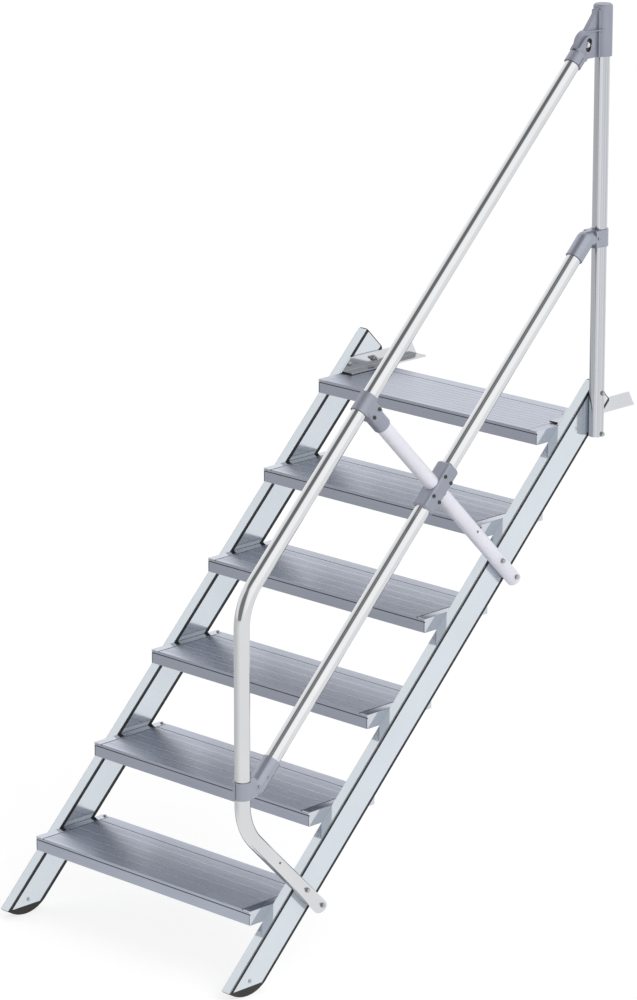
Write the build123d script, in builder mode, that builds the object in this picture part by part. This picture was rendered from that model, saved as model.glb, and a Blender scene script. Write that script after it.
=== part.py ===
import math
import os

from build123d import *

os.makedirs("parts", exist_ok=True)

# Driving sizes, all in millimetres.

# Flight
tread_count = 6
rise = 210
run = 213
tread_width = 800
tread_depth = 240
first_step_height = 207

# Stringers: hollow rounded section, long side standing
stringer_width = 30
stringer_depth = 90
stringer_wall = 3
stringer_corner_r = 7
nose_to_stringer = 58
stringer_end_ahead_of_tread_back = 18
foot_height = 23

# Stringer end caps
cap_plate = 3
cap_plug = 14
cap_plug_clearance = 0.3

# Feet
foot_plug_height = 22
foot_plug_inset = 4

# Treads: front bead, raised ribs with fine ones between, and a back strip behind a joint line
nose_height = 38
tread_plate = 3.8
tread_lip = 3
rib_count = 4
rib_height = 1.2
rib_width = 4
fine_rib_width = 1.6
front_bead = 6
back_strip = 37
joint_width = 2
joint_depth = 2.4
nose_groove_below_top = 9
nose_groove_width = 2.5
nose_groove_depth = 1.2
web_count = 2
web_thickness = 2.5
foot_lip = 14

# Tread end angles
end_plate = 4
end_flange = 28
end_flange_thickness = 3
end_seam = 1.2

# Top brackets
bracket_height = 40
bracket_leg = 38
bracket_thickness = 5
seat_reach = 150
seat_gap = 2
bracket_back_slant = 22
bracket_over_tread = 1
leg_behind_stringer_front = 8

# Tubes
tube_d = 40
tube_wall = 2.5
tube_standoff = 0.3
bend_r = 155

# Handrail layout, measured square to the nose line or along it
rail_offset = 648
knee_offset = 272
leg_station = 124
brace_below_stringer_top = 565
newel_ahead_of_first_nose = 75
tube_past_stringer = 12

# Post
post_ahead_of_tread_back = 63
post_below_top_tread = 36
post_above_hinge = 90

# Cast fittings
sleeve_wall = 3.5
fit_clearance = 0.3

# Post cap
cap_wall = 5
cap_crown = 8
cap_crown_slope = 4
cap_length = 135
gusset_below_cap_top = 9
gusset_thickness = 14
gusset_root_width = 26
gusset_root_depth = 4
ear_r = 37
hinge_from_post = 70
hinge_hole_d = 10
shelf_thickness = 3
shelf_front_width = 12
shelf_inside_sleeve = 0.8
shelf_below_ear_top = 1.7
shelf_past_hinge = 10

# Rail end socket
rail_end_to_hinge = 44
rail_socket_depth = 22
rail_sleeve_end_to_hinge = 36
rail_taper = 14
rail_taper_end_r = 16
rail_seam = 2
rail_seam_length = 24
rail_seam_above_axis = 2
cheek_thickness = 7
cheek_gap = 0.3
cheek_r = 23
bolt_recess_length = 36
bolt_recess_width = 20
bolt_recess_depth = 5
bolt_recess_tilt = 77

# Knee rail clamps
clamp_band_height = 46
clamp_cheek_end = 20
clamp_cheek_inset = 0.5
clamp_cheek_corner_r = 6
clamp_seam = 2
clamp_seam_end = 14
knee_tube_gap = 8
knee_top_turn = 57
knee_low_turn = 49
knee_top_socket = 60
knee_low_socket = 76

# Clamp between handrail and brace
brace_clamp_length = 54
brace_block_drop = 46
brace_block_corner_r = 12
brace_block_inset = 0.6
brace_socket_wall = 3.2
brace_socket_drop = 91
brace_tube_below_rail = 40

# Cross fitting
cross_length = 139
cross_corner_r = 10
cross_end_slope = 6
brace_spigot = 34

# Derived sizes
pitch_length = math.hypot(rise, run)
cos_a = run / pitch_length
sin_a = rise / pitch_length
steps_between = tread_count - 1

mid_x = -(tread_width / 2 - bracket_leg / 2)
left_face = mid_x - tread_width / 2
right_face = mid_x + tread_width / 2
top_back_y = -(seat_gap + seat_reach) / 2
top_nose_y = top_back_y - tread_depth
base_y = top_nose_y - steps_between * run
base_z = -steps_between * rise
floor_z = base_z - first_step_height
cut_z = floor_z + foot_height

tube_r = tube_d / 2
bore_r = tube_r + fit_clearance
sleeve_r = bore_r + sleeve_wall
cap_r = bore_r + cap_wall
spigot_r = tube_r - tube_wall - fit_clearance
rail_x = right_face + stringer_width + tube_standoff + tube_r
stringer_mid_n = -(nose_to_stringer + stringer_depth / 2)
tube_end_n = -(nose_to_stringer + stringer_depth + tube_past_stringer)
post_y = top_back_y - post_ahead_of_tread_back
newel_y = base_y - newel_ahead_of_first_nose

slope = Vector(0, cos_a, sin_a)
square = Vector(0, -sin_a, cos_a)


def side(s, n):
    """Depth and height of a point s along the nose line and n square above it."""
    return (base_y + s * cos_a - n * sin_a, base_z + s * sin_a + n * cos_a)


def at(x, s, n):
    """Point in space at width x and place s, n on the slope."""
    y, z = side(s, n)
    return Vector(x, y, z)


def station_of(y, n):
    """Place along the nose line of a point at depth y and height n above it."""
    return (y - base_y + n * sin_a) / cos_a


stringer_top_s = station_of(top_back_y - stringer_end_ahead_of_tread_back, stringer_mid_n)
brace_station = stringer_top_s - brace_below_stringer_top


def front_of_stringer(z):
    """Depth of the stringers' front face at one height."""
    return side((z - base_z + nose_to_stringer * cos_a) / sin_a, -nose_to_stringer)[0]


def save(piece, name):
    """Label one piece and write its file."""
    piece.label = name
    export_step(piece, "parts/" + name + ".step")


def stringer(face, outward):
    """Hollow rounded bar on the slope, cut level at the foot and square at the top."""
    x = face + outward * stringer_width / 2
    foot_s = (cut_z - base_z) / sin_a
    start = at(x, foot_s - stringer_depth, stringer_mid_n)
    section = Plane(origin=start, x_dir=(1, 0, 0), z_dir=slope)
    with BuildPart() as bar:
        with BuildSketch(section):
            RectangleRounded(stringer_width, stringer_depth, stringer_corner_r)
            RectangleRounded(
                stringer_width - 2 * stringer_wall,
                stringer_depth - 2 * stringer_wall,
                stringer_corner_r - stringer_wall,
                mode=Mode.SUBTRACT,
            )
        extrude(amount=stringer_top_s - foot_s + stringer_depth)
        split(bisect_by=Plane.XY.offset(cut_z), keep=Keep.TOP)
    return bar.part


save(stringer(left_face, -1), "stringer_left")
save(stringer(right_face, 1), "stringer_right")


def stringer_cap(face, outward):
    """Dark plug with a thin rounded plate that closes the top of a stringer."""
    x = face + outward * stringer_width / 2
    top = Plane(origin=at(x, stringer_top_s, stringer_mid_n), x_dir=(1, 0, 0), z_dir=slope)
    inner_w = stringer_width - 2 * stringer_wall - 2 * cap_plug_clearance
    inner_d = stringer_depth - 2 * stringer_wall - 2 * cap_plug_clearance
    with BuildPart() as plug:
        with BuildSketch(top):
            RectangleRounded(stringer_width, stringer_depth, stringer_corner_r)
        extrude(amount=cap_plate)
        with BuildSketch(top):
            RectangleRounded(inner_w, inner_d, stringer_corner_r - stringer_wall)
        extrude(amount=-cap_plug)
    return plug.part


save(stringer_cap(left_face, -1), "stringer_cap_left")
save(stringer_cap(right_face, 1), "stringer_cap_right")


def foot(face, outward):
    """Rubber foot: level top against the cut end, curved sole, plug inside the bar."""
    x = face + outward * stringer_width / 2
    front_y = front_of_stringer(cut_z)
    back_y = front_y + stringer_depth / sin_a
    mid_y = (front_y + back_y) / 2
    side_plane = Plane(origin=(x, 0, 0), x_dir=(0, 1, 0), z_dir=(1, 0, 0))
    lean = foot_plug_height * cos_a / sin_a
    plug_front = front_y + (stringer_wall + foot_plug_inset) / sin_a
    plug_back = back_y - (stringer_wall + foot_plug_inset) / sin_a
    plug_w = stringer_width - 2 * stringer_wall - 2 * cap_plug_clearance
    with BuildPart() as shoe:
        with BuildSketch(side_plane):
            with BuildLine():
                Line((front_y, cut_z), (back_y, cut_z))
                ThreePointArc((back_y, cut_z), (mid_y, floor_z), (front_y, cut_z))
            make_face()
        extrude(amount=stringer_width / 2, both=True)
        with BuildSketch(side_plane):
            with BuildLine():
                Polyline(
                    (plug_front, cut_z),
                    (plug_back, cut_z),
                    (plug_back + lean, cut_z + foot_plug_height),
                    (plug_front + lean, cut_z + foot_plug_height),
                    close=True,
                )
            make_face()
        extrude(amount=plug_w / 2, both=True)
    return shoe.part


save(foot(left_face, -1), "foot_left")
save(foot(right_face, 1), "foot_right")


def nose_point(number):
    """Depth and height of the front top edge of one tread."""
    return (base_y + (number - 1) * run, base_z + (number - 1) * rise)


def tread(number):
    """Ribbed hollow plank with a lined nose, recessed at both ends for the angles."""
    y, z = nose_point(number)
    length = tread_width - 2 * end_plate
    profile = Plane(origin=(mid_x, y, z), x_dir=(0, 1, 0), z_dir=(1, 0, 0))
    joint_y = tread_depth - back_strip
    rib_pitch = joint_y / (rib_count + 1)
    plate_low = -(rib_height + tread_plate)
    with BuildPart() as plank:
        with BuildSketch(profile):
            with Locations((tread_depth / 2, plate_low + tread_plate / 2)):
                Rectangle(tread_depth, tread_plate)
            with Locations((tread_lip / 2, -nose_height / 2)):
                Rectangle(tread_lip, nose_height)
            with Locations((tread_depth - tread_lip / 2, -nose_height / 2)):
                Rectangle(tread_lip, nose_height)
            with Locations((foot_lip / 2, -nose_height + web_thickness / 2)):
                Rectangle(foot_lip, web_thickness)
            with Locations((tread_depth - foot_lip / 2, -nose_height + web_thickness / 2)):
                Rectangle(foot_lip, web_thickness)
            for index in range(web_count):
                web_y = (index + 1) * tread_depth / (web_count + 1)
                with Locations((web_y, (plate_low - nose_height) / 2)):
                    Rectangle(web_thickness, nose_height + plate_low)
            with Locations((front_bead / 2, -rib_height / 2)):
                Rectangle(front_bead, rib_height)
            with Locations((joint_y + back_strip / 2, -rib_height / 2)):
                Rectangle(back_strip, rib_height)
            for index in range(rib_count):
                with Locations((front_bead / 2 + (index + 1) * rib_pitch, -rib_height / 2)):
                    Rectangle(rib_width, rib_height)
            for index in range(rib_count + 1):
                with Locations((front_bead / 2 + (index + 0.5) * rib_pitch, -rib_height / 2)):
                    Rectangle(fine_rib_width, rib_height)
            with Locations((joint_y, -joint_depth / 2)):
                Rectangle(joint_width, joint_depth, mode=Mode.SUBTRACT)
            with Locations((nose_groove_depth / 2, -nose_groove_below_top)):
                Rectangle(nose_groove_depth, nose_groove_width, mode=Mode.SUBTRACT)
        extrude(amount=length / 2, both=True)
        recess = end_flange - end_plate + end_seam
        recess_x = (length - recess) / 2
        with Locations(
            (mid_x - recess_x, y + tread_depth / 2, z - end_flange_thickness / 2),
            (mid_x + recess_x, y + tread_depth / 2, z - end_flange_thickness / 2),
        ):
            Box(recess, tread_depth, end_flange_thickness, mode=Mode.SUBTRACT)
    return plank.part


def end_angles(number):
    """Two angles that close a tread's ends: upright plate and a flange on top."""
    y, z = nose_point(number)
    mid_y = y + tread_depth / 2
    with BuildPart() as angles:
        for face, inward in ((left_face, 1), (right_face, -1)):
            with Locations((face + inward * end_plate / 2, mid_y, z - nose_height / 2)):
                Box(end_plate, tread_depth, nose_height)
            with Locations((face + inward * end_flange / 2, mid_y, z - end_flange_thickness / 2)):
                Box(end_flange, tread_depth, end_flange_thickness)
        with Locations((mid_x, y + nose_groove_depth / 2, z - nose_groove_below_top)):
            Box(tread_width, nose_groove_depth, nose_groove_width, mode=Mode.SUBTRACT)
    return angles.part


for step in range(1, tread_count + 1):
    save(tread(step), "tread_" + str(step))
    save(end_angles(step), "tread_" + str(step) + "_end_angles")


def top_bracket(face, inward):
    """Angle on the inner side of a stringer whose flat leg passes over the tread to the landing."""
    seat_front = top_back_y + seat_gap
    back_low = top_back_y + seat_reach
    back_high = back_low - bracket_back_slant
    front_low = front_of_stringer(bracket_over_tread)
    front_high = front_of_stringer(bracket_height)
    seat_length = seat_reach - seat_gap
    leg_front = front_low + leg_behind_stringer_front
    leg_length = back_low - leg_front
    leg_height = bracket_thickness - bracket_over_tread
    side_plane = Plane(origin=(face, 0, 0), x_dir=(0, 1, 0), z_dir=(1, 0, 0))
    with BuildPart() as angle:
        with BuildSketch(side_plane):
            with BuildLine():
                Polyline(
                    (front_low, bracket_over_tread),
                    (seat_front, bracket_over_tread),
                    (seat_front, 0),
                    (back_low, 0),
                    (back_high, bracket_height),
                    (front_high, bracket_height),
                    close=True,
                )
            make_face()
        extrude(amount=inward * bracket_thickness)
        leg_x = face + inward * bracket_leg / 2
        with Locations((leg_x, seat_front + seat_length / 2, bracket_thickness / 2)):
            Box(bracket_leg, seat_length, bracket_thickness)
        with Locations((leg_x, leg_front + leg_length / 2, bracket_over_tread + leg_height / 2)):
            Box(bracket_leg, leg_length, leg_height)
    return angle.part


save(top_bracket(left_face, 1), "top_bracket_left")
save(top_bracket(right_face, -1), "top_bracket_right")


def straight_tube(start, end):
    """Round tube between two points."""
    with BuildPart() as pipe:
        with BuildSketch(Plane(origin=start, z_dir=end - start)):
            Circle(tube_r)
            Circle(tube_r - tube_wall, mode=Mode.SUBTRACT)
        extrude(amount=(end - start).length)
    return pipe.part


# Hinge between post and handrail, on the handrail's axis
hinge_y = post_y - hinge_from_post
hinge_s = station_of(hinge_y, rail_offset)
hinge_z = side(hinge_s, rail_offset)[1]

# Handrail: slope, upright newel and leg in one bent tube
rail_end_s = hinge_s - rail_end_to_hinge
rail_top = at(rail_x, rail_end_s, rail_offset)
rail_bend = at(rail_x, station_of(newel_y, rail_offset), rail_offset)
leg_bend_z = base_z + (leg_station - (newel_y - base_y) * cos_a) / sin_a
leg_bend = Vector(rail_x, newel_y, leg_bend_z)
leg_end = at(rail_x, leg_station, tube_end_n)

with BuildPart() as handrail:
    with BuildLine() as rail_line:
        FilletPolyline(rail_top, rail_bend, leg_bend, leg_end, radius=bend_r)
    with BuildSketch(Plane(origin=rail_top, z_dir=rail_bend - rail_top)):
        Circle(tube_r)
        Circle(tube_r - tube_wall, mode=Mode.SUBTRACT)
    sweep(path=rail_line.line)
save(handrail.part, "handrail_tube")

post_foot = Vector(rail_x, post_y, -post_below_top_tread)
post_head = Vector(rail_x, post_y, hinge_z + post_above_hinge)
save(straight_tube(post_foot, post_head), "post_tube")

# Knee rail between the turning points of its two clamps
top_turn_s = station_of(post_y - knee_top_turn, knee_offset)
low_turn_s = station_of(newel_y + knee_low_turn, knee_offset)
knee_top = at(rail_x, top_turn_s - knee_tube_gap, knee_offset)
knee_low = at(rail_x, low_turn_s + knee_tube_gap, knee_offset)
save(straight_tube(knee_low, knee_top), "knee_rail_tube")

# Brace in two lengths, above and below the knee rail
brace_high_n = rail_offset - brace_tube_below_rail
brace_high = at(rail_x, brace_station, brace_high_n)
brace_upper_low = at(rail_x, brace_station, knee_offset + sleeve_r)
brace_lower_high = at(rail_x, brace_station, knee_offset - sleeve_r)
brace_low = at(rail_x, brace_station, tube_end_n)
save(straight_tube(brace_upper_low, brace_high), "brace_upper_tube")
save(straight_tube(brace_low, brace_lower_high), "brace_lower_tube")


def across(origin, direction):
    """Plane square to a tube at a point on its axis."""
    return Plane(origin=origin, x_dir=(1, 0, 0), z_dir=direction)


def touch_point(point, centre, radius, turn):
    """Point where a straight edge from a point meets a circle, on the chosen side."""
    gap_y = centre[0] - point[0]
    gap_z = centre[1] - point[1]
    distance = math.hypot(gap_y, gap_z)
    heading = math.atan2(gap_z, gap_y) + turn * math.asin(radius / distance)
    reach = math.sqrt(distance**2 - radius**2)
    return (point[0] + reach * math.cos(heading), point[1] + reach * math.sin(heading))


# Cap over the post: sleeve with a crown, gusset with an ear at the hinge, and a thin shelf
mid_plane = Plane(origin=(rail_x, 0, 0), x_dir=(0, 1, 0), z_dir=(1, 0, 0))
cap_top = post_head.Z + cap_crown
cap_low = cap_top - cap_length
hinge = (hinge_y, hinge_z)
gusset_high = (post_y - cap_r, cap_top - gusset_below_cap_top)
gusset_low = (post_y - cap_r, cap_low)
ear_high = (hinge_y, hinge_z + ear_r)
ear_low = touch_point(gusset_low, hinge, ear_r, 1)
root_y = post_y - cap_r - gusset_root_depth
root_height = gusset_high[1] - gusset_root_depth - cap_low
shelf_high = hinge_z + ear_r - shelf_below_ear_top
shelf_front = hinge_y - shelf_past_hinge
shelf_half = cap_r - shelf_inside_sleeve
with BuildPart() as post_cap:
    with BuildSketch(Plane(origin=(rail_x, post_y, cap_low))):
        Circle(cap_r)
    extrude(amount=cap_length)
    crown = post_cap.edges().filter_by(GeomType.CIRCLE).sort_by(Axis.Z)[-1]
    chamfer(crown, cap_crown_slope)
    with BuildSketch(mid_plane):
        with BuildLine():
            Polyline(
                (post_y, cap_low),
                gusset_low,
                ear_low,
                hinge,
                ear_high,
                gusset_high,
                (post_y, gusset_high[1]),
                close=True,
            )
        make_face()
        with Locations(hinge):
            Circle(ear_r)
    extrude(amount=gusset_thickness / 2, both=True)
    with Locations((rail_x, (root_y + post_y) / 2, cap_low + root_height / 2)):
        Box(gusset_root_width, post_y - root_y, root_height)
    with BuildSketch(Plane.XY.offset(shelf_high)):
        with BuildLine():
            Polyline(
                (rail_x - shelf_half, post_y),
                (rail_x - shelf_front_width / 2, shelf_front),
                (rail_x + shelf_front_width / 2, shelf_front),
                (rail_x + shelf_half, post_y),
                close=True,
            )
        make_face()
    extrude(amount=-shelf_thickness)
    with BuildSketch(Plane(origin=(rail_x, post_y, cap_low))):
        Circle(bore_r)
    extrude(amount=cap_length - cap_crown, mode=Mode.SUBTRACT)
    with BuildSketch(mid_plane):
        with Locations(hinge):
            Circle(hinge_hole_d / 2)
    extrude(amount=gusset_thickness, both=True, mode=Mode.SUBTRACT)
save(post_cap.part, "post_cap")

# Socket on the handrail's top end, tapered into a fork round the ear
sleeve_end_s = hinge_s - rail_sleeve_end_to_hinge
socket_mouth = at(rail_x, rail_end_s - rail_socket_depth, rail_offset)
socket_floor_length = rail_socket_depth + fit_clearance
sleeve_end = at(rail_x, sleeve_end_s, rail_offset)
fork_half = gusset_thickness / 2 + cheek_gap
fork_plane = Plane(origin=at(rail_x, hinge_s, rail_offset), x_dir=slope, z_dir=(1, 0, 0))
slot_start = ear_r + cheek_gap
recess_turn = bolt_recess_tilt - math.degrees(math.atan2(sin_a, cos_a))
with BuildPart() as rail_socket:
    with BuildSketch(across(socket_mouth, slope)):
        Circle(sleeve_r)
    extrude(amount=(sleeve_end - socket_mouth).length)
    with Locations(across(sleeve_end, slope)):
        Cone(
            sleeve_r,
            rail_taper_end_r,
            rail_taper,
            align=(Align.CENTER, Align.CENTER, Align.MIN),
        )
    with BuildSketch(fork_plane):
        Circle(cheek_r)
        with Locations((-rail_sleeve_end_to_hinge / 2, 0)):
            Rectangle(rail_sleeve_end_to_hinge, 2 * cheek_r)
    extrude(amount=fork_half + cheek_thickness, both=True)
    with BuildSketch(across(socket_mouth, slope)):
        Circle(bore_r)
    extrude(amount=socket_floor_length, mode=Mode.SUBTRACT)
    with BuildSketch(fork_plane):
        with Locations((-slot_start, 0)):
            Rectangle(
                2 * (slot_start + cheek_r),
                4 * cheek_r,
                align=(Align.MIN, Align.CENTER),
            )
    extrude(amount=fork_half, both=True, mode=Mode.SUBTRACT)
    with BuildSketch(fork_plane):
        Circle(hinge_hole_d / 2)
    extrude(amount=sleeve_r, both=True, mode=Mode.SUBTRACT)
    with BuildSketch(fork_plane.offset(fork_half + cheek_thickness)):
        SlotOverall(bolt_recess_length, bolt_recess_width, rotation=recess_turn)
    extrude(amount=-bolt_recess_depth, mode=Mode.SUBTRACT)
    with BuildSketch(Plane(origin=socket_mouth, x_dir=slope, z_dir=(1, 0, 0)).offset(tube_r)):
        with Locations((0, rail_seam_above_axis)):
            Rectangle(rail_seam_length, rail_seam, align=(Align.MIN, Align.CENTER))
    extrude(amount=sleeve_r - tube_r, mode=Mode.SUBTRACT)
save(rail_socket.part, "rail_end_socket")


def knee_clamp(upright_y, turn_s, socket_length, away):
    """Split band round an upright tube, flat neck, round corner and knee rail socket."""
    turn = at(rail_x, turn_s, knee_offset)
    neck = abs(turn.Y - upright_y)
    cheek = neck - clamp_cheek_end
    band_low = Plane(origin=(rail_x, upright_y, turn.Z - clamp_band_height / 2))
    seam_length = sleeve_r + neck - clamp_seam_end
    seam_mid = upright_y + away * (seam_length / 2 - sleeve_r)
    with BuildPart() as clamp:
        with BuildSketch(band_low):
            Circle(sleeve_r)
        extrude(amount=clamp_band_height)
        with BuildSketch(across((rail_x, upright_y, turn.Z), (0, away, 0))):
            RectangleRounded(2 * (sleeve_r - clamp_cheek_inset), clamp_band_height, clamp_cheek_corner_r)
        extrude(amount=cheek)
        neck_start = (rail_x, upright_y + away * (cheek - clamp_cheek_inset), turn.Z)
        with BuildSketch(across(neck_start, (0, away, 0))):
            Circle(sleeve_r)
        extrude(amount=clamp_cheek_end + clamp_cheek_inset)
        with Locations(turn):
            Sphere(sleeve_r)
        with BuildSketch(across(turn, slope * away)):
            Circle(sleeve_r)
        extrude(amount=socket_length)
        with BuildSketch(band_low):
            Circle(bore_r)
        extrude(amount=2 * clamp_band_height, both=True, mode=Mode.SUBTRACT)
        with BuildSketch(across(turn + slope * (away * knee_tube_gap), slope * away)):
            Circle(bore_r)
        extrude(amount=socket_length, mode=Mode.SUBTRACT)
        with Locations((rail_x, seam_mid, turn.Z)):
            Box(clamp_seam, seam_length, 2 * sleeve_r, mode=Mode.SUBTRACT)
    return clamp.part


with BuildPart() as knee_clamps:
    add(knee_clamp(post_y, top_turn_s, knee_top_socket, -1))
    add(knee_clamp(newel_y, low_turn_s, knee_low_socket, 1))
save(knee_clamps.part, "knee_rail_clamps")

# Clamp on the handrail with a socket for the top of the brace
clamp_start = at(rail_x, brace_station - brace_clamp_length / 2, rail_offset)
clamp_mid = at(rail_x, brace_station, rail_offset)
brace_block_width = 2 * (sleeve_r - brace_block_inset)
with BuildPart() as brace_clamp:
    with BuildSketch(across(clamp_start, slope)):
        Circle(sleeve_r)
    extrude(amount=brace_clamp_length)
    with BuildSketch(across(clamp_mid, -square)):
        RectangleRounded(brace_block_width, brace_block_width, brace_block_corner_r)
    extrude(amount=brace_block_drop)
    with BuildSketch(across(clamp_mid, -square)):
        Circle(bore_r + brace_socket_wall)
    extrude(amount=brace_socket_drop)
    with BuildSketch(across(clamp_start, slope)):
        Circle(bore_r)
    extrude(amount=brace_clamp_length, mode=Mode.SUBTRACT)
    with BuildSketch(across(brace_high + square * fit_clearance, -square)):
        Circle(bore_r)
    extrude(amount=brace_socket_drop, mode=Mode.SUBTRACT)
save(brace_clamp.part, "brace_top_clamp")

# Cross fitting: rounded block on the knee rail with a spigot for each length of the brace
cross_start = at(rail_x, brace_station - cross_length / 2, knee_offset)
cross_mid = at(rail_x, brace_station, knee_offset)
with BuildPart() as cross:
    with BuildSketch(across(cross_start, slope)):
        RectangleRounded(2 * sleeve_r, 2 * sleeve_r, cross_corner_r)
    extrude(amount=cross_length)
    ends = cross.faces().sort_by(Axis(cross_start, slope))
    chamfer(ends[0].edges() + ends[-1].edges(), cross_end_slope)
    with BuildSketch(across(cross_mid, square)):
        Circle(spigot_r)
    extrude(amount=sleeve_r + brace_spigot, both=True)
    with BuildSketch(across(cross_start, slope)):
        Circle(bore_r)
    extrude(amount=cross_length, mode=Mode.SUBTRACT)
save(cross.part, "brace_cross_fitting")
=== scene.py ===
import math

import bmesh
import bpy
from mathutils import Matrix, Vector


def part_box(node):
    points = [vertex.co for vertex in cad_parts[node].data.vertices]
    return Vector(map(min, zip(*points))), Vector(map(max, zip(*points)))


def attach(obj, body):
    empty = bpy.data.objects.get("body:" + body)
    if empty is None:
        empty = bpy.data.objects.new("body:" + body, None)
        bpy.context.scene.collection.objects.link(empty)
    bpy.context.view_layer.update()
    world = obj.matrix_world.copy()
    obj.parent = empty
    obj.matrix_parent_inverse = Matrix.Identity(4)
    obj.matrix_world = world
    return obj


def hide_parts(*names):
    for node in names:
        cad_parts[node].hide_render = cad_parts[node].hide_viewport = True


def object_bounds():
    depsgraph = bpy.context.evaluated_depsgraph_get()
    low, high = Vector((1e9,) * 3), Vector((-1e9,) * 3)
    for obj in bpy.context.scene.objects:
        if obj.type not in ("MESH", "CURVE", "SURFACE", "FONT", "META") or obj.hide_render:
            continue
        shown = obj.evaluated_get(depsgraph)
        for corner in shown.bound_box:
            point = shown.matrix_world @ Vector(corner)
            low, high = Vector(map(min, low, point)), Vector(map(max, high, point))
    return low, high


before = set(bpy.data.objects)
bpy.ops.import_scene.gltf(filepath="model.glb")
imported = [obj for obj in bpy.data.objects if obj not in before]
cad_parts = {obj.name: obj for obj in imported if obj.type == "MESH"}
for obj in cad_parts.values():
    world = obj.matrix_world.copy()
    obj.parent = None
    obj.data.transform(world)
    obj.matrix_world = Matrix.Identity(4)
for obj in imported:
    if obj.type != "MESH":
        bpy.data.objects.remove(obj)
cad_low, cad_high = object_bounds()

# Sizes in metres, the same as the part's own.
MM = 0.001
stringer_depth = 90 * MM
nose_to_stringer = 58 * MM
tube_radius = 20 * MM
tube_wall = 2.5 * MM
bend_radius = 155 * MM
rail_offset = 648 * MM
knee_offset = 272 * MM
leg_station = 124 * MM
newel_ahead = 75 * MM
tube_past_stringer = 12 * MM
sleeve_radius = 23.8 * MM
hinge_from_post = 70 * MM
hinge_recess_floor = 9.3 * MM
hinge_cheek_face = 14.3 * MM
recess_reach = 18.4 * MM
bracket_thickness = 5 * MM
tread_count = 6
tread_width = 800 * MM
end_flange = 28 * MM
end_recess = 3 * MM
joint_from_front = 203 * MM
rib_pitch = joint_from_front / 5
rib_width = 4 * MM
front_bead = 6 * MM
nose_line_below_top = 9 * MM
end_plate = 4 * MM
tread_depth = 240 * MM
plate_depth = 5 * MM
rear_web = 160 * MM

# Fine lines, seams, shades and roundings, which only the scene has
groove_inset = 5.25 * MM
near_line = 8.6 * MM
far_line = 11 * MM
groove_depth = 1.0 * MM
rib_lift = 0.95 * MM
valley_below_top = 1.2 * MM
stringer_edge_round = 1.4 * MM
inner_edge_round = 0.4 * MM
moulded_round = 0.8 * MM
shoe_round = 1.2 * MM
plank_round = 0.1 * MM
end_angle_round = 0.6 * MM
bracket_round = 0.8 * MM
tube_end_round = 0.6 * MM
casting_round = 1.4 * MM
fastener_round = 0.3 * MM
seam_widening = 2.0 * MM
seam_strip = 2 * MM
shade_line = 18 * MM
nose_line_floor = 1.3 * MM
nose_line_half = 1.4 * MM
joint_half = 1.3 * MM
flush = 0.2 * MM
tube_sides = 64
bend_steps = 18

# Fasteners: sizes and places, n is square to the slope
washer_height = 1.2 * MM
sunk_into_tube = 0.3 * MM
sunk_into_sleeve = 0.4 * MM
sunk_into_plate = 0.2 * MM
stringer_bolt_n = (-64 * MM, -142 * MM)
post_bolt_heights = (83 * MM, -28 * MM)
leg_rivet_n = 73 * MM
brace_rivet_n = 74 * MM
foot_rivet_ahead = 32 * MM
foot_rivet_below = 169 * MM
cross_bolt_along = 30 * MM
cross_bolt_across = 14.5 * MM
head_bolt_along = 13 * MM
head_bolt_n = 616 * MM
clamp_bolt_places = ((-166 * MM, 502 * MM), (-1420 * MM, -689 * MM), (-1387 * MM, -673 * MM))
nut_y = -104 * MM
nut_z = 22 * MM
dome_y = -200 * MM
dome_z = 23 * MM
stud_from_face = 15 * MM
stud_from_front = 234 * MM

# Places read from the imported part
first_low, first_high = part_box("tread_1")
last_low, last_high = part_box("tread_" + str(tread_count))
base_y = first_low.y
base_z = first_high.z
rise = (last_high.z - first_high.z) / (tread_count - 1)
run = (last_low.y - first_low.y) / (tread_count - 1)
slope_angle = math.atan2(rise, run)
cos_a = math.cos(slope_angle)
sin_a = math.sin(slope_angle)
post_low, post_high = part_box("post_tube")
rail_x = (post_low.x + post_high.x) / 2
post_y = (post_low.y + post_high.y) / 2
right_low, right_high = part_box("stringer_right")
left_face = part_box("stringer_left")[1].x
right_face = right_low.x
stringer_width = right_high.x - right_low.x
cut_z = right_low.z
floor_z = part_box("foot_right")[0].z
newel_y = base_y - newel_ahead
stringer_mid_n = -(nose_to_stringer + stringer_depth / 2)
tube_end_n = -(nose_to_stringer + stringer_depth + tube_past_stringer)
hinge_y = post_y - hinge_from_post
hinge_z = base_z + (hinge_y - base_y) * sin_a / cos_a + rail_offset / cos_a

slope_frame = Matrix.Translation((0, base_y, base_z)) @ Matrix.Rotation(slope_angle, 4, "X")
slope_way = slope_frame.to_3x3() @ Vector((0, 1, 0))
square_way = slope_frame.to_3x3() @ Vector((0, 0, 1))


def on_slope(x, s, n):
    """Point at width x, s along the nose line and n square above it."""
    return slope_frame @ Vector((x, s, n))


def station(y, n):
    """Place along the nose line of a point at depth y and height n above it."""
    return (y - base_y + n * sin_a) / cos_a


# Modelling helpers


def deselect():
    if bpy.context.object and bpy.context.object.mode != "OBJECT":
        bpy.ops.object.mode_set(mode="OBJECT")
    bpy.ops.object.select_all(action="DESELECT")


def take(piece):
    deselect()
    piece.select_set(True)
    bpy.context.view_layer.objects.active = piece


def edit(piece, kind="FACE"):
    take(piece)
    bpy.ops.object.mode_set(mode="EDIT")
    bpy.ops.mesh.select_mode(type=kind)
    bpy.ops.mesh.select_all(action="DESELECT")


def leave():
    bpy.ops.object.mode_set(mode="OBJECT")


def pick(piece, kind, test):
    """Select the faces, edges or verts for which the test holds, in edit mode."""
    mesh = bmesh.from_edit_mesh(piece.data)
    items = {"FACE": mesh.faces, "EDGE": mesh.edges, "VERT": mesh.verts}[kind]
    items.ensure_lookup_table()
    for item in items:
        item.select_set(bool(test(item)))
    mesh.select_flush_mode()
    bmesh.update_edit_mesh(piece.data)


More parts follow.
